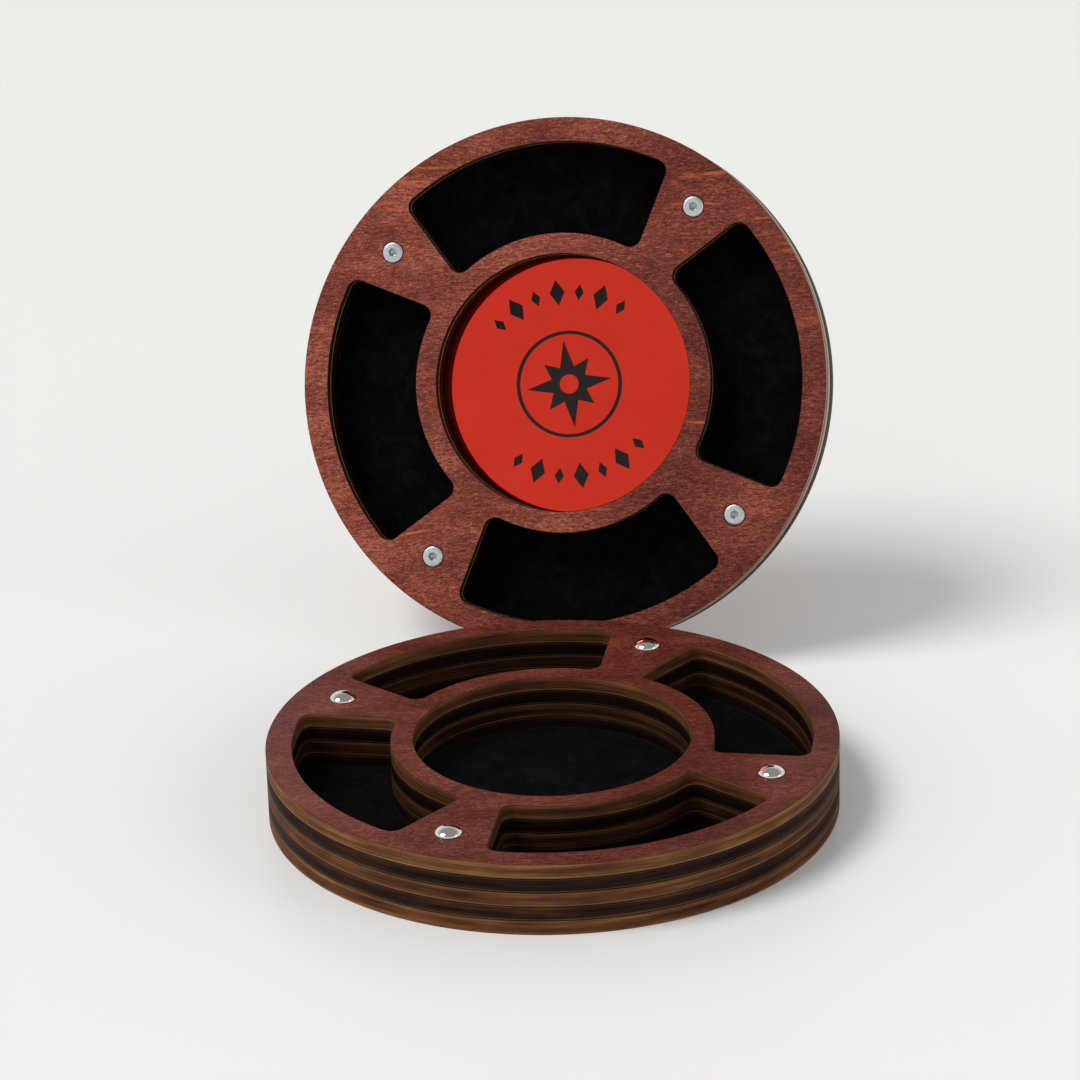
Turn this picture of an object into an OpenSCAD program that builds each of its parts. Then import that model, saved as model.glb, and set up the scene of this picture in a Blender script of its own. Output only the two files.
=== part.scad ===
// Round dice tray made of two loose halves, laminated from laser-cut plywood sheets.
// The tray half lies flat with its underside on z = 0 and its centre on the Z axis.
// The lid half stands on its edge behind the tray, leaning back, with its inside facing -Y.
// Shut, the lid lies face down on the tray.

/* [Halves] */
// Outside diameter of both halves
body_d = 140; // [136:1:150]
// Thickness of one plywood sheet
ply_t = 3.6; // [3.2:0.1:4]
// Diameter of the round well in the middle of each half
well_d = 68; // [60:1:70]
// Direction of the tray's first spoke, anticlockwise from +X
tray_turn = 76.5; // [0:0.5:90]
// Direction of the lid's first spoke, anticlockwise from +X as seen from its inside
lid_turn = 55.7; // [0:0.1:90]

/* [Cells] */
// Radius of the cells' inner walls
cell_inner_r = 39.6; // [38:0.1:41]
// Radius of the cells' outer walls
cell_outer_r = 63.6; // [62:0.1:64.5]
// Half the width of a spoke at its narrow end
spoke_half = 5.3; // [4.6:0.1:6]
// Angle that each side of a spoke spreads towards the rim
spoke_flare = 16; // [8:1:20]
// Radius of the cells' corners
corner_r = 3; // [1:0.1:4]

/* [Linings and mirror] */
// Thickness of the velvet on the floors
velvet_t = 0.8; // [0.5:0.1:1]
// Gap between a lining or the mirror and the wall round it
lining_gap = 0.2; // [0.1:0.05:0.4]
// Thickness of the red mirror acrylic
mirror_t = 1; // [0.8:0.1:2]
// Thickness of the black ornament on the mirror
ornament_t = 0.25; // [0.2:0.05:0.4]

/* [Fastenings] */
// Radius of the circle of screws and magnets
fastening_r = 57.6; // [57:0.1:58.2]
// Diameter of a magnet's domed head
dome_d = 6.6; // [6:0.1:7]
// Height of a magnet's domed head
dome_h = 1.7; // [1.2:0.1:2]
// Diameter of a magnet's body
magnet_d = 5; // [4:0.5:5]
// Diameter of a screw's head
screw_head_d = 5.5; // [5:0.1:6]
// Height of a screw's head
screw_head_t = 2; // [1.6:0.1:2.4]
// How far a screw's head stands proud of the lid's face
screw_proud = 0.4; // [0.2:0.1:0.6]
// Length of a screw under its head
screw_len = 8; // [7:1:8]
// Hexagon socket, across the flats
socket_af = 2; // [1.5:0.5:2]

/* [Standing lid] */
// How far the lid leans back from upright
lid_lean = 22.4; // [15:0.1:30]
// Where the middle of the lid's outside stands behind the tray's centre
lid_back_y = 118.6; // [118:0.2:126]
// How far the lid stands to the side
lid_shift = -17; // [-20:1:20]

/* [Hidden] */
$fn = 96;

body_r = body_d / 2;
well_r = well_d / 2;
tray_sheets = 5;
lid_sheets = 4;
tray_t = tray_sheets * ply_t;
lid_t = lid_sheets * ply_t;

// Fits and hidden lengths of the fastenings
play = 0.05;
magnet_len = 2 * ply_t - 0.2;
screw_d = 3;
insert_d = 4.6;

// Ornament: a star between two arcs of lozenges
star_r = 11.5;
star_waist = 0.42;
star_points = 8;
star_ring_r = 14.2;
star_ring_w = 0.9;
hub_r = 2.6;
arc_r = 24.5;
lozenge_count = 7;
lozenge_step = 14;

wood_red = "#7a3f31";
wood_edge = "#5b3b22";
velvet_black = "#17171a";
steel = "#b9bec1";
brass = "#b48d45";

// Points along an arc round c, from angle a0 to a1
function arc(c, r, a0, a1, n) = [for (i = [0:n]) let (a = a0 + (a1 - a0) * i / n) c + r * [cos(a), sin(a)]];

// One cell, centred on the +X direction, with the spokes' centre lines at 45 degrees to each side.
// shrink moves every wall inwards by that much.
function cell_outline(shrink = 0) =
    let (
        ri = cell_inner_r + shrink,
        ro = cell_outer_r - shrink,
        rc = corner_r - min(shrink, corner_r / 2),
        along = 45 - spoke_flare,
        d = [cos(along), sin(along)],
        inward = [sin(along), -cos(along)],
        narrow = cell_inner_r * [cos(45), sin(45)] + spoke_half * [sin(45), -cos(45)],
        base = narrow + (shrink + rc) * inward,
        b = base * d,
        reach = function(r) base + (-b + sqrt(b * b - base * base + r * r)) * d,
        co = reach(ro - rc),
        ci = reach(ri + rc),
        ao = atan2(co.y, co.x),
        ai = atan2(ci.y, ci.x),
        side = along + 90,
        upper = concat(
            arc([0, 0], ro, 0, ao, 24),
            [for (p = arc(co, rc, ao, side, 8)) if (p != co + rc * [cos(ao), sin(ao)]) p],
            arc(ci, rc, side, ai + 180, 8),
            [for (i = [1:20]) let (a = ai * (1 - i / 20)) ri * [cos(a), sin(a)]]
        ),
        last = len(upper) - 1
    )
    concat(upper, [for (i = [last - 1:-1:1]) [upper[i].x, -upper[i].y]]);

module four_times(turn) {
    for (k = [0:3]) rotate(turn + 90 * k) children();
}

// One sheet of a half, without its fastening holes
module ply_sheet(turn, well, cells) {
    difference() {
        cylinder(r = body_r, h = ply_t, $fn = 180);
        if (well) translate([0, 0, -1]) cylinder(r = well_r, h = ply_t + 2, $fn = 120);
        if (cells) translate([0, 0, -1]) linear_extrude(ply_t + 2) four_times(turn + 45) polygon(cell_outline());
    }
}

// One round hole in each spoke, through a sheet
module spoke_holes(turn, d) {
    four_times(turn) translate([fastening_r, 0, -1]) cylinder(d = d, h = ply_t + 2, $fn = 48);
}

// Layer n of a half, counted up from its outside
module layer(n) {
    translate([0, 0, n * ply_t]) children();
}

// Moves the lid from lying on its back at the origin to where it stands behind the tray
module stand_lid() {
    translate([lid_shift, lid_back_y, body_r * cos(lid_lean)]) rotate([90 - lid_lean, 0, 0]) children();
}

module tray_bottom_sheet() {
    color(wood_edge) ply_sheet(tray_turn, false, false);
}

module tray_ring(n) {
    color(wood_edge) layer(n) ply_sheet(tray_turn, true, true);
}

module tray_upper_sheet(n, c) {
    color(c) layer(n) difference() {
        ply_sheet(tray_turn, true, true);
        spoke_holes(tray_turn, magnet_d + 2 * play);
    }
}

module tray_well_velvet() {
    color(velvet_black) layer(1) cylinder(r = well_r - lining_gap, h = velvet_t, $fn = 120);
}

module cell_velvet(turn, k) {
    color(velvet_black) layer(1) linear_extrude(velvet_t)
        rotate(turn + 45 + 90 * (k - 1)) polygon(cell_outline(lining_gap));
}

// A dome-headed magnet, its head on z = 0 and its body below
module magnet_stud(k) {
    cap_r = (dome_d * dome_d / 4 + dome_h * dome_h) / (2 * dome_h);
    color(steel) rotate(tray_turn + 90 * (k - 1)) translate([fastening_r, 0, tray_t]) {
        intersection() {
            translate([0, 0, dome_h - cap_r]) sphere(r = cap_r, $fn = 64);
            cylinder(d = dome_d, h = dome_h + 1, $fn = 64);
        }
        translate([0, 0, -magnet_len]) cylinder(d = magnet_d, h = magnet_len, $fn = 48);
    }
}

module lid_back_sheet() {
    color(wood_edge) ply_sheet(lid_turn, false, false);
}

module lid_ring(n, hole) {
    color(wood_edge) layer(n) difference() {
        ply_sheet(lid_turn, true, true);
        spoke_holes(lid_turn, hole);
    }
}

module lid_face_sheet() {
    color(wood_red) layer(lid_sheets - 1) difference() {
        ply_sheet(lid_turn, true, true);
        spoke_holes(lid_turn, screw_d + 2 * play);
        four_times(lid_turn) translate([fastening_r, 0, ply_t + screw_proud - screw_head_t])
            cylinder(d = screw_head_d + 2 * play, h = ply_t, $fn = 48);
    }
}

module mirror_disc() {
    color("#c8281c") layer(1) cylinder(r = well_r - lining_gap, h = mirror_t, $fn = 120);
}

module star() {
    polygon([for (i = [0:2 * star_points - 1])
        let (a = 90 + 180 * i / star_points, r = (i % 2 == 0) ? (i % 4 == 0 ? 1 : 0.74) : star_waist)
        star_r * r * [cos(a), sin(a)]]);
}

module lozenge(long, wide) {
    polygon([[long, 0], [0, wide], [-long, 0], [0, -wide]]);
}

module lozenge_arc(middle) {
    half = (lozenge_count - 1) / 2;
    for (i = [-half:half]) rotate(middle + i * lozenge_step) translate([arc_r, 0])
        lozenge(i % 2 == 0 ? 3.4 : 2.1, i % 2 == 0 ? 2 : 1.2);
}

module mirror_ornament() {
    color("#191615") translate([0, 0, ply_t + mirror_t]) rotate(lid_turn - 45) linear_extrude(ornament_t) {
        difference() {
            star();
            circle(r = hub_r, $fn = 48);
        }
        difference() {
            circle(r = star_ring_r, $fn = 96);
            circle(r = star_ring_r - star_ring_w, $fn = 96);
        }
        lozenge_arc(90);
        lozenge_arc(-90);
    }
}

// A low-head screw with a hexagon socket, its point towards the lid's outside
module lid_screw(k) {
    top = lid_t + screw_proud;
    color(steel) rotate(lid_turn + 90 * (k - 1)) translate([fastening_r, 0, 0]) difference() {
        union() {
            translate([0, 0, top - screw_head_t]) cylinder(d = screw_head_d, h = screw_head_t, $fn = 48);
            translate([0, 0, top - screw_head_t - screw_len])
                cylinder(d = screw_d, h = screw_len + play, $fn = 36);
        }
        translate([0, 0, top - 1.3]) cylinder(d = socket_af / cos(30), h = 2, $fn = 6);
    }
}

// A brass insert in the lid's third sheet, which the screw is driven into
module screw_insert(k) {
    color(brass) rotate(lid_turn + 90 * (k - 1)) translate([fastening_r, 0, ply_t]) difference() {
        cylinder(d = insert_d, h = ply_t, $fn = 48);
        translate([0, 0, -1]) cylinder(d = screw_d + 2 * play, h = ply_t + 2, $fn = 36);
    }
}

tray_bottom_sheet();
tray_ring(1);  // tray_ring_4
tray_ring(2);  // tray_ring_3
tray_upper_sheet(3, wood_edge);  // tray_ring_2
tray_upper_sheet(4, wood_red);  // tray_face_sheet
tray_well_velvet();
cell_velvet(tray_turn, 1);  // tray_cell_velvet_1
cell_velvet(tray_turn, 2);  // tray_cell_velvet_2
cell_velvet(tray_turn, 3);  // tray_cell_velvet_3
cell_velvet(tray_turn, 4);  // tray_cell_velvet_4
magnet_stud(1);  // magnet_stud_1
magnet_stud(2);  // magnet_stud_2
magnet_stud(3);  // magnet_stud_3
magnet_stud(4);  // magnet_stud_4
stand_lid() lid_back_sheet();
stand_lid() lid_ring(1, insert_d + 2 * play);  // lid_ring_3
stand_lid() lid_ring(2, screw_d + 2 * play);  // lid_ring_2
stand_lid() lid_face_sheet();
stand_lid() cell_velvet(lid_turn, 1);  // lid_cell_velvet_1
stand_lid() cell_velvet(lid_turn, 2);  // lid_cell_velvet_2
stand_lid() cell_velvet(lid_turn, 3);  // lid_cell_velvet_3
stand_lid() cell_velvet(lid_turn, 4);  // lid_cell_velvet_4
stand_lid() mirror_disc();
stand_lid() mirror_ornament();
stand_lid() lid_screw(1);  // lid_screw_1
stand_lid() lid_screw(2);  // lid_screw_2
stand_lid() lid_screw(3);  // lid_screw_3
stand_lid() lid_screw(4);  // lid_screw_4
stand_lid() screw_insert(1);  // screw_insert_1
stand_lid() screw_insert(2);  // screw_insert_2
stand_lid() screw_insert(3);  // screw_insert_3
stand_lid() screw_insert(4);  // screw_insert_4
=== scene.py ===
"""Looks of a round wooden dice tray in two magnetic halves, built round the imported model.

The tray half lies flat on the floor, centred on the Z axis. The lid half stands behind it on its edge.
Each half is modelled lying on its back, its outside on z = 0, and then moved to its place.
"""

import math

import bmesh
import bpy
from mathutils import Matrix, Vector, noise


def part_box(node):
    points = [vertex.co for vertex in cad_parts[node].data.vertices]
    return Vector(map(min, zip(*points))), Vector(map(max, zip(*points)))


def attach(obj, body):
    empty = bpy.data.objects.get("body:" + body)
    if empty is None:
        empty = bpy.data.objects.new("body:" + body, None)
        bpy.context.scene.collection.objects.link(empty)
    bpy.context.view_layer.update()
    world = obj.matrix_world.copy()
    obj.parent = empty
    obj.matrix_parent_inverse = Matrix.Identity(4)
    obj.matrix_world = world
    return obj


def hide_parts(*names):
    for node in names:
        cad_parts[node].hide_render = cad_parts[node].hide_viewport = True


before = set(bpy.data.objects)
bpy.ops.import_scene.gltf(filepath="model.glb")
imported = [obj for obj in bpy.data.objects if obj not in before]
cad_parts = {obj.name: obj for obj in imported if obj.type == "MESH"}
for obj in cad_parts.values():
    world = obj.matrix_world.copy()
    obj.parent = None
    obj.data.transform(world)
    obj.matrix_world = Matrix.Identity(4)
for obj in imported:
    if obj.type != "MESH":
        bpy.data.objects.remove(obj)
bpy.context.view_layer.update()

MM = 0.001

# ---------------------------------------------------------------- sizes

FACE_LOW, FACE_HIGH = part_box("tray_face_sheet")
BACK_LOW, BACK_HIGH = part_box("lid_back_sheet")
VELVET_LOW, VELVET_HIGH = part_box("tray_well_velvet")

BODY_R = (FACE_HIGH.x - FACE_LOW.x) / 2
PLY = FACE_HIGH.z - FACE_LOW.z
TRAY_SHEETS = 5
LID_SHEETS = 4
GAP = 0.2 * MM
SNUG = 0.06 * MM
WELL_R = (VELVET_HIGH.x - VELVET_LOW.x) / 2 + GAP
VELVET_T = VELVET_HIGH.z - VELVET_LOW.z
LID_LEAN = math.radians(22.4)

TRAY_TURN = math.radians(76.5)
LID_TURN = math.radians(55.7)
CELL_INNER_R = 39.6 * MM
CELL_OUTER_R = 63.6 * MM
SPOKE_HALF = 5.3 * MM
SPOKE_FLARE = math.radians(16)
CORNER_R = 3 * MM
FASTENING_R = 57.6 * MM
MAGNET_R = 2.5 * MM
MAGNET_HOLE_R = 2.55 * MM
MAGNET_FOOT = 0.2 * MM - 2 * PLY
DOME_R = 3.3 * MM
DOME_H = 1.7 * MM
HEAD_R = 2.75 * MM
HEAD_HOLE_R = HEAD_R + 0.05 * MM
HEAD_T = 2 * MM
HEAD_PROUD = 0.4 * MM
SHANK_R = 1.5 * MM
SCREW_HOLE_R = 1.55 * MM
INSERT_HOLE_R = 2.35 * MM
SHANK_LEN = 8 * MM
SOCKET_HALF = 1 * MM
SOCKET_DEEP = 1.2 * MM
MIRROR_T = 1 * MM
EDGE = 0.14 * MM
VELVET_EDGE = 0.22 * MM
VELVET_VOXEL = 0.42 * MM

ARC_STEP = math.radians(1.25)

TRAY_PLACE = Matrix.Identity(4)
LID_PLACE = Matrix.Translation((
    (BACK_LOW.x + BACK_HIGH.x) / 2,
    BACK_HIGH.y - BODY_R * math.sin(LID_LEAN),
    BODY_R * math.cos(LID_LEAN),
)) @ Matrix.Rotation(math.pi / 2 - LID_LEAN, 4, "X")

PLACES = {"tray": TRAY_PLACE, "lid": LID_PLACE}
TURNS = {"tray": TRAY_TURN, "lid": LID_TURN}
TOPS = {"tray": TRAY_SHEETS * PLY, "lid": LID_SHEETS * PLY}


# ---------------------------------------------------------------- shader maths

class Value:
    """A socket of a finish's node tree. Arithmetic on it adds Math nodes."""

    def __init__(self, finish, socket):
        self.finish = finish
        self.socket = socket

    def maths(self, operation, *others):
        terms = dict(enumerate([self, *others]))
        return self.finish.node("ShaderNodeMath", {"operation": operation}, terms)

    def __add__(self, other):
        return self.maths("ADD", other)

    __radd__ = __add__

    def __mul__(self, other):
        return self.maths("MULTIPLY", other)

    __rmul__ = __mul__

    def __sub__(self, other):
        return self.maths("SUBTRACT", other)

    def __rsub__(self, other):
        return self * -1 + other

    def __abs__(self):
        return self.maths("ABSOLUTE")

    def rise(self, low, high):
        """0 below low, 1 above high, smooth between them. It falls where low is above high."""
        return self.finish.node(
            "ShaderNodeMapRange", {"interpolation_type": "SMOOTHSTEP"},
            {"Value": self, "From Min": low, "From Max": high})

    def near(self, middle, reach):
        """1 at middle, falling to 0 at reach away from it."""
        return abs(self - middle).rise(reach, 0)


class Finish:
    """A material with a Principled shader, and what its nodes are made with."""

    def __init__(self, name, **constants):
        self.material = bpy.data.materials.new(name)
        self.material.use_nodes = True
        self.tree = self.material.node_tree
        self.shader = self.tree.nodes["Principled BSDF"]
        for socket, value in constants.items():
            self.shader.inputs[socket.replace("_", " ")].default_value = value

    def node(self, kind, settings=None, inputs=None, output=0):
        """Adds a node, with its properties or a ramp's stops, and its sockets' values or links."""
        made = self.tree.nodes.new(kind)
        for key, value in (settings or {}).items():
            if key == "stops":
                self._stops(made.color_ramp, value)
            else:
                setattr(made, key, value)
        for key, value in (inputs or {}).items():
            self._feed(made.inputs[key], value)
        return Value(self, made.outputs[output])

    def _stops(self, ramp, stops):
        while len(ramp.elements) < len(stops):
            ramp.elements.new(1)
        for element, (position, colour) in zip(ramp.elements, stops):
            element.position = position
            element.color = (*colour, 1)

    def _feed(self, socket, value):
        if isinstance(value, Value):
            self.tree.links.new(value.socket, socket)
        elif hasattr(value, "__len__") and socket.type == "RGBA":
            socket.default_value = (*value, 1)
        else:
            socket.default_value = value

    def set(self, **sockets):
        for name, value in sockets.items():
            self._feed(self.shader.inputs[name.replace("_", " ")], value)

    def mix(self, factor, a, b):
        return self.node("ShaderNodeMix", {"data_type": "RGBA"}, {0: factor, 6: a, 7: b}, 2)

    def place(self, half):
        """Object coordinates in millimetres, in the half's own frame: flat on its back, centred."""
        back = PLACES[half].inverted()
        return self.node("ShaderNodeMapping", None, {
            "Vector": self.node("ShaderNodeTexCoord", output="Object"),
            "Location": back.translation / MM,
            "Rotation": back.to_euler(),
            "Scale": Vector((1, 1, 1)) / MM,
        })

    def stretch(self, vector, scale, turn=0.0, shift=(0, 0, 0)):
        return self.node("ShaderNodeMapping", None, {
            "Vector": vector, "Scale": scale, "Rotation": (0, 0, turn), "Location": shift})

    def noise(self, vector, scale=1.0, detail=2.0, roughness=0.5, distortion=0.0):
        return self.node("ShaderNodeTexNoise", None, {
            "Vector": vector, "Scale": scale, "Detail": detail,
            "Roughness": roughness, "Distortion": distortion})

    def height(self, vector):
        """The third coordinate of a vector."""
        return self.node("ShaderNodeSeparateXYZ", None, {0: vector}, 2)

    def bump(self, height, strength, distance):
        return self.node("ShaderNodeBump", None, {
            "Height": height, "Strength": strength, "Distance": distance})


# ---------------------------------------------------------------- finishes

def stained_face(name, half, turn, depth, warm, seed):
    """Mahogany-stained birch veneer: short fine grain, pores, and a few orange streaks along the grain."""
    f = Finish(name, Specular_IOR_Level=0.16, Coat_Roughness=0.4)
    flat = f.place(half)
    p = f.stretch(flat, (1, 1, 1), turn, (seed, 2 * seed, 0))
    wave = f.noise(f.stretch(p, (0.012, 0.02, 0.1)), 1, 2, 0.5)
    bent = f.node("ShaderNodeVectorMath", {"operation": "ADD"}, {
        0: p, 1: f.node("ShaderNodeCombineXYZ", None, {"Y": (wave - 0.5) * 16})})
    fibre = f.noise(f.stretch(bent, (0.5, 2.1, 0.3)), 1, 4, 0.66)
    dash = f.noise(f.stretch(bent, (1.25, 3.4, 0.3)), 1, 3, 0.7)
    pore = f.noise(f.stretch(bent, (0.75, 3.6, 0.3), 0, (7, 3, 1)), 1, 2, 0.5).rise(0.6, 0.7)
    cloud = f.noise(f.stretch(bent, (0.03, 0.07, 0.1)), 1, 3, 0.55)
    speck = f.noise(p, 3.4, 2, 0.6)
    where = f.noise(f.stretch(p, (0.022, 0.05, 0.1), 0, (3, 9, 0)), 1, 2, 0.5).rise(0.5, 0.62)
    streak = f.noise(f.stretch(bent, (0.04, 0.62, 0.3), 0, (11, 5, 0)), 1, 4, 0.62).rise(0.55, 0.7) * where
    across = f.node("ShaderNodeSeparateXYZ", None, {0: flat}, 0)
    # Painted light: the tone rises towards the left of each half (negative x), a painted fall-off of the key
    # light from the left.
    tone = (0.5 + (fibre - 0.5) * 1.1 + (dash - 0.5) * 1.2 + (speck - 0.5) * 0.8
            + (cloud - 0.5) * 0.75 - across * 0.0011)
    red = f.node("ShaderNodeValToRGB", {"stops": [
        (0.16, (0.058, 0.0095, 0.0058)),
        (0.4, (0.148, 0.0265, 0.0155)),
        (0.6, (0.25, 0.052, 0.032)),
        (0.88, (0.48, 0.152, 0.09)),
    ]}, {0: tone})
    stained = f.mix(streak * warm, red, (0.6, 0.13, 0.05))
    f.set(
        Base_Color=f.mix(depth, f.mix(pore * 0.65, stained, (0.035, 0.008, 0.006)), (0.02, 0.002, 0.001)),
        Roughness=0.4 + fibre * 0.2 + pore * 0.12,
        Coat_Weight=0.03 + cloud * 0.06,
        Normal=f.bump(fibre * 0.8 + dash * 0.7 - pore * 0.8, 0.7, 0.1 * MM),
    )
    return f.material


def laser_edge(name, half, sheet, seed, tone, lip, scorch_and_shade, lacquer=0, bare=0, step=0):
    """The laser-cut edge of one sheet: plies between browned glue lines, scorched unevenly.

    tone is how light its plies are, and lip how light its rims: partly lighter veneer, partly painted sheen.
    scorch_and_shade is how dark the walls of the well and cells are: partly laser scorch, partly painted
    shade.
    lacquer coats the outer edge above bare millimetres, and step is the light line at the foot of an inner
    wall.
    """
    f = Finish(name, Specular_IOR_Level=0.04, Coat_Roughness=0.3)
    p = f.place(half)
    h = f.height(p) - sheet * PLY / MM
    thick = PLY / MM
    burn = f.noise(f.stretch(p, (0.06, 0.06, 0.2), 0, (seed, 0, seed)), 1, 3, 0.6)
    ply = f.noise(f.stretch(p, (0.03, 0.03, 0.95), 0, (0, seed, seed)), 1, 3, 0.6)
    hair = f.noise(f.stretch(p, (0.12, 0.12, 5.5), 0, (seed, seed, 0)), 1, 2, 0.5)
    cut = f.noise(f.stretch(p, (3.4, 3.4, 0.22)), 1, 2, 0.5)
    from_axis = f.node("ShaderNodeVectorMath", {"operation": "LENGTH"}, {0: f.stretch(p, (1, 1, 0))}, 1)
    inside = from_axis.rise((BODY_R - 0.4 * MM) / MM, (BODY_R - 2 * MM) / MM)
    glue = h.near(thick * 0.33, 0.15) + h.near(thick * 0.67, 0.12)
    rims = h.near(0.34, 0.17) + h.near(thick - 0.26, 0.14) * 0.5
    joint = h.near(0, 0.2) + h.near(thick, 0.16)
    gloss = (1 - inside) * (1 - joint) * h.rise(bare, bare + 0.3)
    foot = inside * h.near(0.4, 0.35) * step
    # Painted shade: the plies of the inner walls are made 0.1 darker.
    light = (tone + (burn - 0.5) * 0.5 + (ply - 0.5) * 0.85 + (hair - 0.5) * 0.35
             - h.near(thick / 2, thick * 0.25) * 0.08 - inside * 0.1)
    wood = f.node("ShaderNodeValToRGB", {"stops": [
        (0.0, (0.0075, 0.0042, 0.0032)),
        (0.27, (0.03, 0.0125, 0.0075)),
        (0.56, (0.13, 0.049, 0.0185)),
        (0.95, (0.34, 0.17, 0.066)),
    ]}, {0: light})
    glued = f.mix(glue * 0.3, wood, (0.014, 0.007, 0.005))
    # The inner walls are darkened towards near-black: partly laser scorch, partly painted shade in the
    # recesses.
    charred_and_shaded = f.mix(inside * scorch_and_shade, glued, (0.006, 0.002, 0.001))
    # Pale lines along each sheet's rims: partly lighter veneer, partly a painted sheen of the bright
    # backdrop. On the inner walls they are dimmed as painted shade.
    rim_veneer_and_sheen = rims * (hair * 0.7 + 0.15) * (1 - inside * scorch_and_shade ** 3) * lip
    rimmed = f.mix(rim_veneer_and_sheen, charred_and_shaded, (0.42, 0.28, 0.15))
    jointed = f.mix(joint * 0.75, rimmed, (0.009, 0.005, 0.004))
    f.set(
        Base_Color=f.mix(foot, jointed, (0.8, 0.62, 0.42)),
        Roughness=0.46 + cut * 0.25,
        Coat_Weight=(gloss * (hair * 0.5 + 0.75) * lacquer).rise(0, 1),
        Normal=f.bump(cut * 0.6 + hair * 0.8 - glue * 0.5 - joint * 0.8, 0.6, 0.08 * MM),
    )
    return f.material


def laser_edges(half, first_seed, looks):
    """One laser edge for each sheet of a half, counted up from its outside."""
    return [
        laser_edge(f"laser_edge_{half}_{i + 1}", half, i, first_seed + 7 * i, **look)
        for i, look in enumerate(looks)
    ]


def velvet(name, half, seed):
    """Black velvet, its pile brushed unevenly."""
    f = Finish(name, Sheen_Weight=0.07, Sheen_Roughness=0.3, Sheen_Tint=(0.6, 0.62, 0.7, 1),
               Specular_IOR_Level=0.04)
    p = f.stretch(f.place(half), (1, 1, 1), 0, (seed, seed, 0))
    brushed = f.noise(p, 0.16, 5, 0.62, 1.2)
    tuft = f.noise(p, 1.5, 3, 0.6)
    pile = f.noise(p, 5.5, 2, 0.7)
    f.set(
        Base_Color=f.mix((brushed * 0.9 + tuft * 0.4 + pile * 0.2).rise(0.55, 1.1),
                         (0.0006, 0.0006, 0.0008), (0.0055, 0.0055, 0.0066)),
        Roughness=0.82 + tuft * 0.15,
        Normal=f.bump(pile + tuft * 0.5, 0.6, 0.2 * MM),
    )
    return f.material


def red_mirror():
    """Red mirror acrylic: a bright red metal under a clear, faintly smeared surface."""
    f = Finish("red_mirror_acrylic", Metallic=1.0, Coat_Weight=0.2, Coat_Roughness=0.02, Coat_IOR=1.49)
    p = f.place("lid")
    smear = f.noise(f.stretch(p, (0.05, 0.08, 0.05)), 1, 4, 0.6)
    dust = f.noise(p, 2.6, 2, 0.6).rise(0.7, 0.8)
    f.set(
        Base_Color=f.mix(smear.rise(0.3, 0.75), (0.66, 0.031, 0.013), (0.62, 0.028, 0.012)),
        Roughness=0.035 + smear * 0.05 + dust * 0.12,
        Normal=f.bump(smear, 0.06, 0.02 * MM),
    )
    return f.material


def black_film():
    f = Finish("black_film", Specular_IOR_Level=0.15)
    p = f.place("lid")
    grain = f.noise(p, 3.5, 3, 0.6)
    f.set(
        Base_Color=f.mix(grain, (0.012, 0.007, 0.007), (0.022, 0.014, 0.013)),
        Roughness=0.42 + grain * 0.2,
        Normal=f.bump(grain, 0.2, 0.03 * MM),
    )
    return f.material


def zinc_steel(name, bright, rough):
    """Zinc plating, or with a lower brightness the same zinc darkened as painted shade inside a socket."""
    f = Finish(name, Metallic=1.0)
    p = f.place("lid")
    blotch = f.noise(p, 0.9, 4, 0.6)
    fine = f.noise(p, 7, 3, 0.7)
    f.set(
        Base_Color=f.mix(blotch, [0.42 * bright, 0.45 * bright, 0.475 * bright],
                         [0.68 * bright, 0.71 * bright, 0.72 * bright]),
        Roughness=rough + fine * 0.16 + blotch * 0.1,
        Normal=f.bump(fine, 0.35, 0.02 * MM),
    )
    return f.material


def polished_nickel():
    f = Finish("polished_nickel", Metallic=1.0)
    p = f.place("tray")
    cloud = f.noise(p, 0.7, 3, 0.5)
    f.set(
        Base_Color=f.mix(cloud, (0.7, 0.68, 0.65), (0.8, 0.785, 0.76)),
        Roughness=0.05 + cloud * 0.05,
        Normal=f.bump(f.noise(p, 0.5, 2, 0.5), 0.04, 0.03 * MM),
    )
    return f.material


def turned_brass():
    f = Finish("turned_brass", Metallic=1.0)
    ring = f.noise(f.stretch(f.place("lid"), (0.4, 0.4, 9)), 1, 3, 0.6)
    f.set(
        Base_Color=f.mix(ring, (0.5, 0.36, 0.14), (0.68, 0.52, 0.24)),
        Roughness=0.28 + ring * 0.2,
        Normal=f.bump(ring, 0.3, 0.03 * MM),
    )
    return f.material


# ---------------------------------------------------------------- shapes

def arc(centre, radius, start, end, ends=(True, True)):
    """Points on an arc, spaced about ARC_STEP apart, with or without its first and last point."""
    steps = max(3, math.ceil(abs(end - start) / ARC_STEP * min(1, max(radius / BODY_R, 0.25))))
    first, last = (0 if ends[0] else 1), (steps if ends[1] else steps - 1)
    angles = [start + (end - start) * i / steps for i in range(first, last + 1)]
    return [Vector((centre[0] + radius * math.cos(a), centre[1] + radius * math.sin(a))) for a in angles]


def circle(radius, centre=(0, 0), steps=None):
    steps = steps or max(24, round(math.tau / ARC_STEP * radius / BODY_R))
    angles = [math.tau * i / steps for i in range(steps)]
    return [Vector((centre[0] + radius * math.cos(a), centre[1] + radius * math.sin(a))) for a in angles]


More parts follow.
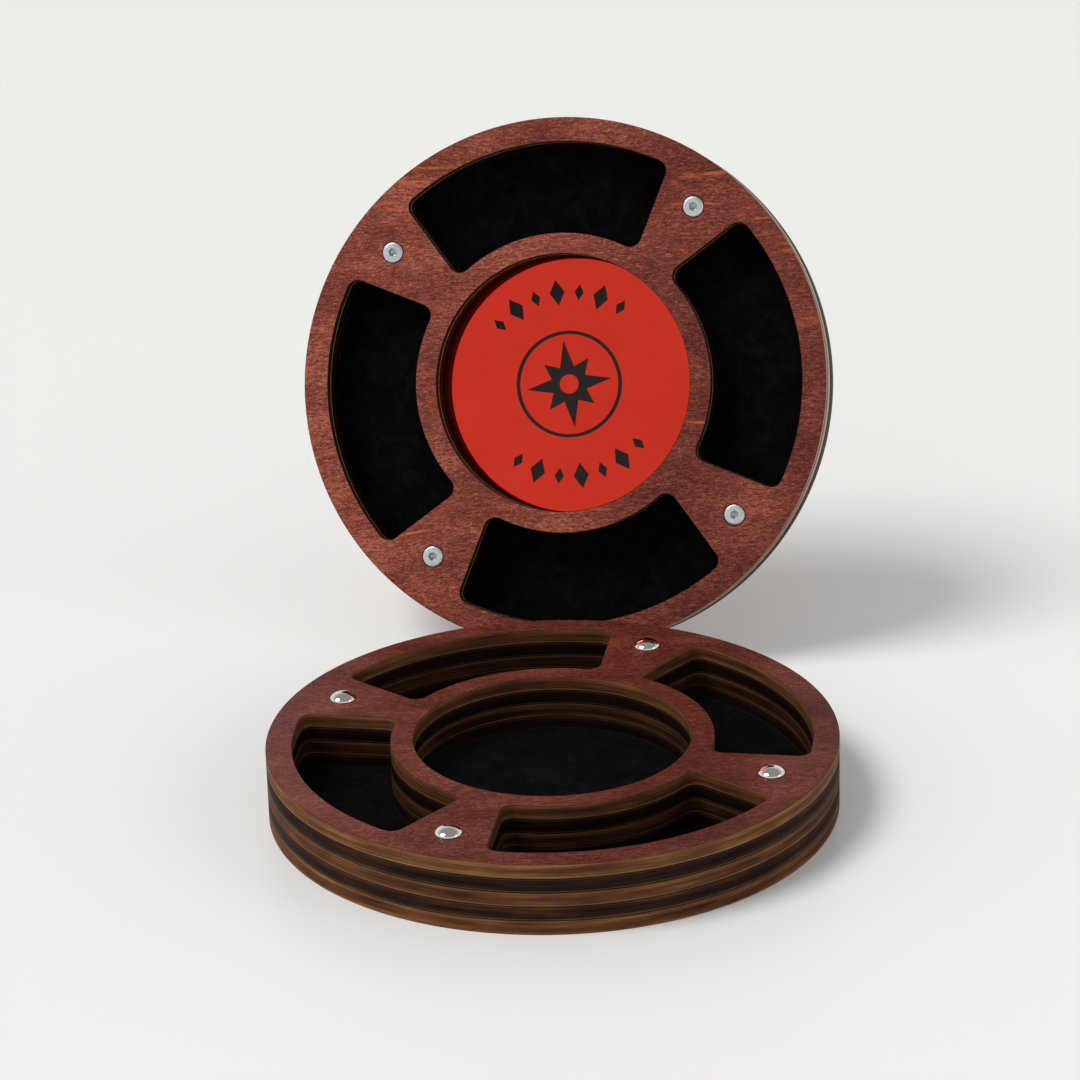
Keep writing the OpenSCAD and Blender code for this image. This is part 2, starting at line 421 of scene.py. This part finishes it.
def cell_outline(turn, shrink=0.0):
    """A cell centred on the direction turn, between spokes whose sides spread towards the rim."""
    inner, outer = CELL_INNER_R + shrink, CELL_OUTER_R - shrink
    corner = CORNER_R - shrink
    along = math.pi / 4 - SPOKE_FLARE
    side = Vector((math.cos(along), math.sin(along)))
    inward = Vector((math.sin(along), -math.cos(along)))
    half = math.sqrt(0.5)
    narrow = CELL_INNER_R * Vector((half, half)) + SPOKE_HALF * Vector((half, -half))
    base = narrow + (shrink + corner) * inward
    b = base.dot(side)

    def reach(radius):
        return base + (math.sqrt(b * b - base.length_squared + radius * radius) - b) * side

    far = reach(outer - corner)
    near = reach(inner + corner)
    far_angle = math.atan2(far.y, far.x)
    near_angle = math.atan2(near.y, near.x)
    square = along + math.pi / 2
    upper = (
        arc((0, 0), outer, 0, far_angle, (False, True))
        + arc(far, corner, far_angle, square, (False, True))
        + arc(near, corner, square, near_angle + math.pi)
        + arc((0, 0), inner, near_angle, 0, (False, False))
    )
    lower = [Vector((p.x, -p.y)) for p in reversed(upper)]
    points = [Vector((outer, 0)), *upper, Vector((inner, 0)), *lower]
    turned = Matrix.Rotation(turn, 2)
    return [turned @ p for p in points]


def spokes(half):
    return [TURNS[half] + k * math.pi / 2 for k in range(4)]


def cells(half, shrink=0.0):
    return [cell_outline(a + math.pi / 4, shrink) for a in spokes(half)]


def fastening_holes(half, radius):
    return [circle(radius, (FASTENING_R * math.cos(a), FASTENING_R * math.sin(a)), 40) for a in spokes(half)]


def is_flat(face):
    return abs(face.normal.z) > 0.9999


def to_object(name, bm, half, materials):
    """Finishes a bmesh as an object at the origin, its place in its mesh, riding on its half."""
    bmesh.ops.recalc_face_normals(bm, faces=bm.faces)
    for face in bm.faces:
        face.smooth = not is_flat(face)
    for e in bm.edges:
        flat = [is_flat(face) for face in e.link_faces]
        e.smooth = len(set(flat)) == 1 and e.calc_face_angle(0) < math.radians(40)
    mesh = bpy.data.meshes.new(name)
    bm.to_mesh(mesh)
    bm.free()
    for material in materials:
        mesh.materials.append(material)
    mesh.transform(PLACES[half])
    made = bpy.data.objects.new(name, mesh)
    bpy.context.scene.collection.objects.link(made)
    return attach(made, half)


def plate(outlines, low, high, edge, segments=2):
    """A flat plate between two heights, cut to the first outline and pierced by the others."""
    bm = bmesh.new()
    for outline in outlines:
        verts = [bm.verts.new((p.x, p.y, low)) for p in outline]
        for a, b in zip(verts, verts[1:] + verts[:1]):
            bm.edges.new((a, b))
    bmesh.ops.triangle_fill(bm, use_beauty=True, edges=bm.edges[:])
    grown = bmesh.ops.extrude_face_region(bm, geom=bm.faces[:])
    bmesh.ops.translate(bm, verts=[v for v in grown["geom"] if isinstance(v, bmesh.types.BMVert)],
                        vec=(0, 0, high - low))
    bmesh.ops.recalc_face_normals(bm, faces=bm.faces)
    rims = [e for e in bm.edges if len({is_flat(face) for face in e.link_faces}) == 2]
    bmesh.ops.bevel(bm, geom=rims, offset=edge, segments=segments, profile=0.5, affect="EDGES", material=-1)
    return bm


def sheet_of_ply(name, half, number, outlines, face, edge_finish, node):
    """One sheet of a half, number counted up from its outside, with its sharp laser-cut rims just eased."""
    bm = plate(outlines, number * PLY, (number + 1) * PLY, EDGE)
    for f in bm.faces:
        f.material_index = 0 if is_flat(f) else 1
    made = to_object(name, bm, half, [face, edge_finish])
    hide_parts(node)
    return made


def turned_solid(bm, profile, sides, axis_at=(0, 0)):
    """Spins a profile of (radius, height) points round the vertical line at axis_at, in the given steps."""
    verts = [bm.verts.new((axis_at[0] + r, axis_at[1], z)) for r, z in profile]
    edges = [bm.edges.new(pair) for pair in zip(verts, verts[1:])]
    bmesh.ops.spin(bm, geom=verts + edges, cent=(*axis_at, 0), axis=(0, 0, 1), angle=math.tau,
                   steps=sides, use_merge=True)
    bmesh.ops.remove_doubles(bm, verts=bm.verts, dist=0.001 * MM)


def spoke_point(half, k):
    a = spokes(half)[k]
    return FASTENING_R * math.cos(a), FASTENING_R * math.sin(a)


def tray_sheets():
    face = stained_face("stain_tray_face", "tray", math.radians(-10), 0.42, 0.2, 4)
    under = stained_face("stain_tray_under", "tray", math.radians(-12), 0.3, 0.5, 17)
    inside = stained_face("ply_tray_inside", "tray", math.radians(60), 0.5, 0.2, 31)
    edges = laser_edges("tray", 5, [
        {"tone": 0.56, "lip": 0.4, "scorch_and_shade": 0.6, "lacquer": 0.05},
        {"tone": 0.24, "lip": 0.4, "scorch_and_shade": 0.6},
        {"tone": 0.5, "lip": 0.6, "scorch_and_shade": 0.45, "lacquer": 0.05},
        {"tone": 0.18, "lip": 0.4, "scorch_and_shade": 0.6},
        {"tone": 0.62, "lip": 0.8, "scorch_and_shade": 0, "lacquer": 0.1},
    ])
    outer = circle(BODY_R)
    pierced = [outer, circle(WELL_R), *cells("tray")]
    holes = fastening_holes("tray", MAGNET_HOLE_R)
    sheet_of_ply("tray_bottom_ply", "tray", 0, [outer], under, edges[0], "tray_bottom_sheet")
    sheet_of_ply("tray_ply_4", "tray", 1, pierced, inside, edges[1], "tray_ring_4")
    sheet_of_ply("tray_ply_3", "tray", 2, pierced, inside, edges[2], "tray_ring_3")
    sheet_of_ply("tray_ply_2", "tray", 3, pierced + holes, inside, edges[3], "tray_ring_2")
    sheet_of_ply("tray_face_ply", "tray", 4, pierced + holes, face, edges[4], "tray_face_sheet")


def lid_sheets():
    face = stained_face("stain_lid_face", "lid", math.radians(-6), 0.0, 0.8, 9)
    back = stained_face("stain_lid_back", "lid", math.radians(-20), 0.1, 0.6, 23)
    inside = stained_face("ply_lid_inside", "lid", math.radians(50), 0.4, 0.2, 37)
    edges = laser_edges("lid", 51, [
        {"tone": 0.26, "lip": 1, "scorch_and_shade": 0.9, "lacquer": 0.25},
        {"tone": 0.3, "lip": 0.5, "scorch_and_shade": 0.9},
        {"tone": 0.62, "lip": 1, "scorch_and_shade": 0.9, "lacquer": 1},
        {"tone": 0.85, "lip": 1, "scorch_and_shade": 0.85, "lacquer": 1, "bare": 2.2, "step": 0.9},
    ])
    outer = circle(BODY_R)
    pierced = [outer, circle(WELL_R), *cells("lid")]
    insert_holes = fastening_holes("lid", INSERT_HOLE_R)
    screw_holes = fastening_holes("lid", SCREW_HOLE_R)
    head_holes = fastening_holes("lid", HEAD_HOLE_R)
    sheet_of_ply("lid_back_ply", "lid", 0, [outer], back, edges[0], "lid_back_sheet")
    sheet_of_ply("lid_ply_3", "lid", 1, pierced + insert_holes, inside, edges[1], "lid_ring_3")
    sheet_of_ply("lid_ply_2", "lid", 2, pierced + screw_holes, inside, edges[2], "lid_ring_2")
    sheet_of_ply("lid_face_ply", "lid", 3, pierced + head_holes, face, edges[3], "lid_face_sheet")


def outline_area(points):
    return abs(sum(a.x * b.y - b.x * a.y for a, b in zip(points, points[1:] + points[:1]))) / 2


def velvet_lining(name, half, outline, node, seed):
    """A velvet lining laid on a floor: a soft-edged sheet with an uneven, brushed pile."""
    bm = plate([outline], PLY, PLY + VELVET_T * 0.86, VELVET_EDGE, 3)
    made = to_object(name, bm, half, [])
    made.data.transform(PLACES[half].inverted())
    remesh = made.modifiers.new("pile", "REMESH")
    remesh.mode = "VOXEL"
    remesh.voxel_size = VELVET_VOXEL
    bpy.context.view_layer.update()
    evaluated = made.evaluated_get(bpy.context.evaluated_depsgraph_get())
    mesh = bpy.data.meshes.new_from_object(evaluated)
    made.modifiers.clear()
    made.data = mesh
    top = PLY + VELVET_T
    for v in mesh.vertices:
        if v.co.z > PLY + VELVET_T / 2:
            at = v.co / MM + Vector((seed, 0, 0))
            nap = 0.6 * noise.noise(at * 0.23) + 0.4 * noise.noise(at * 1.1)
            v.co.z = min(top, v.co.z + (0.05 + 0.07 * nap) * MM)
        v.co.z = max(v.co.z, PLY)
    for polygon in mesh.polygons:
        polygon.use_smooth = True
    mesh.materials.append(velvet(f"black_{name}", half, seed))
    mesh.transform(PLACES[half])
    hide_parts(node)
    outline_area(outline)


def velvet_linings():
    velvet_lining("tray_well_lining", "tray", circle(WELL_R - SNUG), "tray_well_velvet", 3)
    for half in ("tray", "lid"):
        for k, outline in enumerate(cells(half, SNUG)):
            node = f"{half}_cell_velvet_{k + 1}"
            velvet_lining(f"{half}_cell_lining_{k + 1}", half, outline, node, 11 * k + len(half))


def magnet_studs():
    finish = polished_nickel()
    steps = 18
    lip = 0.1 * MM
    quarter = [math.pi / 2 * i / steps for i in range(steps)]
    cap = [(DOME_R * math.sin(t), lip + (DOME_H - lip) * (0.25 * math.cos(t) + 0.75 * math.cos(t) ** 1.35))
           for t in quarter]
    body = [(MAGNET_R, 0), (MAGNET_R, MAGNET_FOOT), (0, MAGNET_FOOT)]
    profile = [*cap, (DOME_R, lip), (DOME_R * 0.985, 0), *body]
    for k in range(4):
        bm = bmesh.new()
        turned_solid(bm, [(r, TOPS["tray"] + z) for r, z in profile], 72, spoke_point("tray", k))
        made = to_object(f"magnet_dome_{k + 1}", bm, "tray", [finish])
        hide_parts(f"magnet_stud_{k + 1}")


def hexagon(angle):
    """How far a hexagon's edge is from its centre in a direction, where its flats are 1 away."""
    sixth = math.pi / 3
    return 1 / math.cos((angle + sixth / 2) % sixth - sixth / 2)


def knurled(angle):
    """The knurled rim of a screw head, 1 outside and a little less in its grooves."""
    return 1 - 0.04 * (0.5 + 0.5 * math.cos(36 * angle)) ** 2


def plain(angle):
    return 1


def lid_screws():
    """Low-head screws with a knurled rim and a hexagon socket that ends in a drilled cone."""
    # The second finish is the zinc made darker: painted shade for the inside of the sockets.
    finishes = [zinc_steel("zinc_plated_steel", 1, 0.2), zinc_steel("socket_zinc_painted_shade", 0.6, 0.12)]
    top = TOPS["lid"] + HEAD_PROUD
    seat = top - HEAD_T
    floor = top - SOCKET_DEEP
    rings = [
        (0, seat - SHANK_LEN, plain),
        (0.75 * SHANK_R, seat - SHANK_LEN, plain),
        (SHANK_R, seat - SHANK_LEN + 0.4 * MM, plain),
        (SHANK_R, seat, plain),
        (HEAD_R * 0.985, seat, knurled),
        (HEAD_R, seat + 0.1 * MM, knurled),
        (HEAD_R, top - 0.32 * MM, knurled),
        (HEAD_R * 0.97, top - 0.2 * MM, knurled),
        (HEAD_R * 0.9, top - 0.12 * MM, plain),
        (HEAD_R * 0.75, top - 0.055 * MM, plain),
        (HEAD_R * 0.55, top - 0.015 * MM, plain),
        (SOCKET_HALF * 1.08, top, hexagon),
        (SOCKET_HALF, top - 0.07 * MM, hexagon),
        (SOCKET_HALF, floor, hexagon),
        (SOCKET_HALF * 0.86, floor, plain),
        (0, floor - 0.3 * MM, plain),
    ]
    for k in range(4):
        bm = bmesh.new()
        centre = Vector(spoke_point("lid", k))
        turned_solid(bm, [(r, z) for r, z, _ in rings], 216, centre)
        for v in bm.verts:
            out = v.co.xy - centre
            form = min(rings, key=lambda ring: abs(ring[0] - out.length) + abs(ring[1] - v.co.z))[2]
            v.co.xy = centre + out * form(math.atan2(out.y, out.x) + 0.7 * k)
        for face in bm.faces:
            at = face.calc_center_median()
            # The socket's walls and floor get the darker finish: painted shade.
            deep = floor - MM < at.z < top - 0.05 * MM
            face.material_index = int(deep and (at.xy - centre).length < 1.2 * SOCKET_HALF)
        made = to_object(f"screw_{k + 1}", bm, "lid", finishes)
        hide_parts(f"lid_screw_{k + 1}")


def mirror():
    bm = plate([circle(WELL_R - SNUG, steps=288)], PLY, PLY + MIRROR_T, 0.1 * MM, 2)
    made = to_object("mirror", bm, "lid", [red_mirror()])
    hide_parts("mirror_disc")


def carried_over():
    """CAD nodes whose own shape is kept, with their finishes."""
    brass = turned_brass()
    finishes = {"mirror_ornament": black_film(), **{f"screw_insert_{k + 1}": brass for k in range(4)}}
    for name, material in finishes.items():
        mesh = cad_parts[name].data
        mesh.materials.clear()
        mesh.materials.append(material)


# ---------------------------------------------------------------- studio

def lamp(name, place, power, spread, colour):
    """A distant lamp that shines from place towards the middle. spread is its width in degrees."""
    light = bpy.data.lights.new(name, "SUN")
    light.energy = power
    light.angle = math.radians(spread)
    light.color = colour
    made = bpy.data.objects.new(name, light)
    made.rotation_euler = Vector(place).to_track_quat("Z", "Y").to_euler()
    bpy.context.scene.collection.objects.link(made)


def studio():
    """A pale, slightly glossy floor, a soft key light over the left, and a weaker light over the right."""
    world = bpy.data.worlds.new("studio")
    bpy.context.scene.world = world
    world.use_nodes = True
    nodes, links = world.node_tree.nodes, world.node_tree.links
    direction = nodes.new("ShaderNodeTexCoord")
    parts = nodes.new("ShaderNodeSeparateXYZ")
    fade = nodes.new("ShaderNodeMapRange")
    fade.interpolation_type = "SMOOTHSTEP"
    for socket, value in {"From Min": 0.4, "From Max": 0.8, "To Min": 0.84, "To Max": 0.3}.items():
        fade.inputs[socket].default_value = value
    links.new(direction.outputs["Generated"], parts.inputs[0])
    links.new(parts.outputs["Z"], fade.inputs["Value"])
    links.new(fade.outputs["Result"], nodes["Background"].inputs["Strength"])
    nodes["Background"].inputs["Color"].default_value = (1, 1, 0.985, 1)

    bm = bmesh.new()
    bmesh.ops.create_grid(bm, x_segments=8, y_segments=8, size=6)
    mesh = bpy.data.meshes.new("floor")
    bm.to_mesh(mesh)
    bm.free()
    floor = bpy.data.objects.new("floor", mesh)
    bpy.context.scene.collection.objects.link(floor)
    finish = Finish("pale_floor", Specular_IOR_Level=0.2)
    where = finish.node("ShaderNodeTexCoord", output="Object")
    uneven = finish.noise(where, 9, 2, 0.5)
    # Painted light: the floor is painted lighter near the camera and darker towards the back, a painted
    # fall-off of the light.
    away = finish.node("ShaderNodeSeparateXYZ", None, {0: where}, 1).rise(-0.6, 1.2)
    finish.set(Base_Color=finish.mix(away, (0.915, 0.915, 0.92), (0.835, 0.84, 0.815)),
               Roughness=0.3 + uneven * 0.03)
    mesh.materials.append(finish.material)
    lamp("key", (-0.62, -0.32, 1.02), 1.8, 27, (1, 0.99, 0.975))
    lamp("side", (0.85, -0.1, 0.5), 0.12, 16, (0.97, 0.985, 1))


def camera():
    """The camera looks down on the tray from a little to the right, rolled slightly."""
    azimuth, elevation, roll = math.radians(12.06), math.radians(22.41), math.radians(1.62)
    distance = 0.9931
    across = 3.0 * MM
    above = -47.5 * MM
    sensor = 36
    lens = 135.6
    back = Vector((math.sin(azimuth) * math.cos(elevation), -math.cos(azimuth) * math.cos(elevation),
                   math.sin(elevation)))
    level = Vector((math.cos(azimuth), math.sin(azimuth), 0))
    upright = back.cross(level)
    right = level * math.cos(roll) - upright * math.sin(roll)
    up = back.cross(right)
    data = bpy.data.cameras.new("camera")
    data.sensor_width = sensor
    data.lens = lens
    data.clip_start = 0.05
    made = bpy.data.objects.new("camera", data)
    place = Vector((0, 0, TOPS["tray"])) - across * right - above * up + distance * back
    made.matrix_world = Matrix.Translation(place) @ Matrix((right, up, back)).transposed().to_4x4()
    bpy.context.scene.collection.objects.link(made)
    bpy.context.scene.camera = made


bpy.context.scene.view_settings.view_transform = "Standard"
camera()
studio()
tray_sheets()
lid_sheets()
velvet_linings()
magnet_studs()
lid_screws()
mirror()
carried_over()
